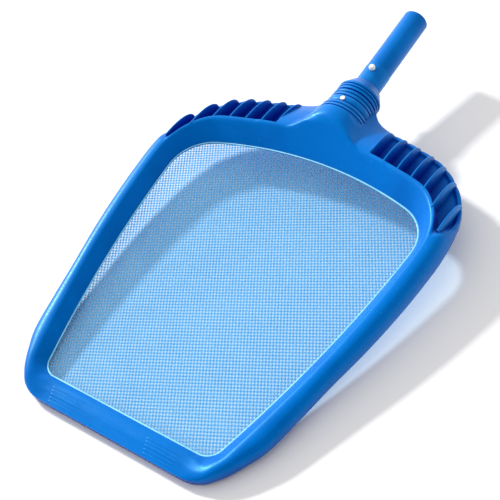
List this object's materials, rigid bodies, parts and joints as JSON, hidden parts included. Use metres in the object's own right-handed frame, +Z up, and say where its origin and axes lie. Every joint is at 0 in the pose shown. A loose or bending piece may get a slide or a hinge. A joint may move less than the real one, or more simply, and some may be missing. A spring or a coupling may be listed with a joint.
{
  "type": "leaf skimmer net",
  "caption": "Flat pool leaf skimmer head: crowned plastic frame around a stretched mesh panel, with a pole spigot that locks by sprung snap buttons.",
  "frame": {"origin": "middle of the whole part's box in X and Y, at its lowest point in Z (the underside of the neck)", "axes": "+X along the net's width, +Y from the front lip to the handle spigot, +Z up, out of the net's open side"},
  "size_m": [0.347, 0.5652, 0.058],
  "materials": {
    "frame_plastic": "glossy moulded polypropylene, mid blue",
    "spigot_plastic": "satin moulded polypropylene, mid blue",
    "ring_plastic": "fine-textured moulded polypropylene, mid blue",
    "net_weave": "plain-woven translucent monofilament net, pale blue",
    "hem_band": "welded net edge band, pale cyan",
    "screw_steel": "plain stainless steel",
    "spring_steel": "spring-tempered stainless strip",
    "white_nylon": "satin white nylon"
  },
  "bodies": {
    "head": {"frame": "frame_plastic", "net_panel": "net_weave", "net_hem": "hem_band", "retaining_ring": "ring_plastic", "retaining_screws": "screw_steel", "pole_spigot": "spigot_plastic", "lock_pin": "white_nylon", "snap_spring": "spring_steel"},
    "upper_button": {"upper_button": "white_nylon"},
    "lower_button": {"lower_button": "white_nylon"}
  },
  "joints": [
    {"name": "upper_button_press", "type": "slide", "parent": "head", "child": "upper_button", "axis": [0, 0.0401, -0.9992], "range_m": [0, 0.0038], "stiffness_N_per_m": 1500, "springref_m": -0.002, "deforming": ["snap_spring"]},
    {"name": "lower_button_press", "type": "slide", "parent": "head", "child": "lower_button", "axis": [0, -0.0401, 0.9992], "range_m": [0, 0.0038], "stiffness_N_per_m": 1500, "springref_m": -0.002, "deforming": ["snap_spring"]}
  ]
}
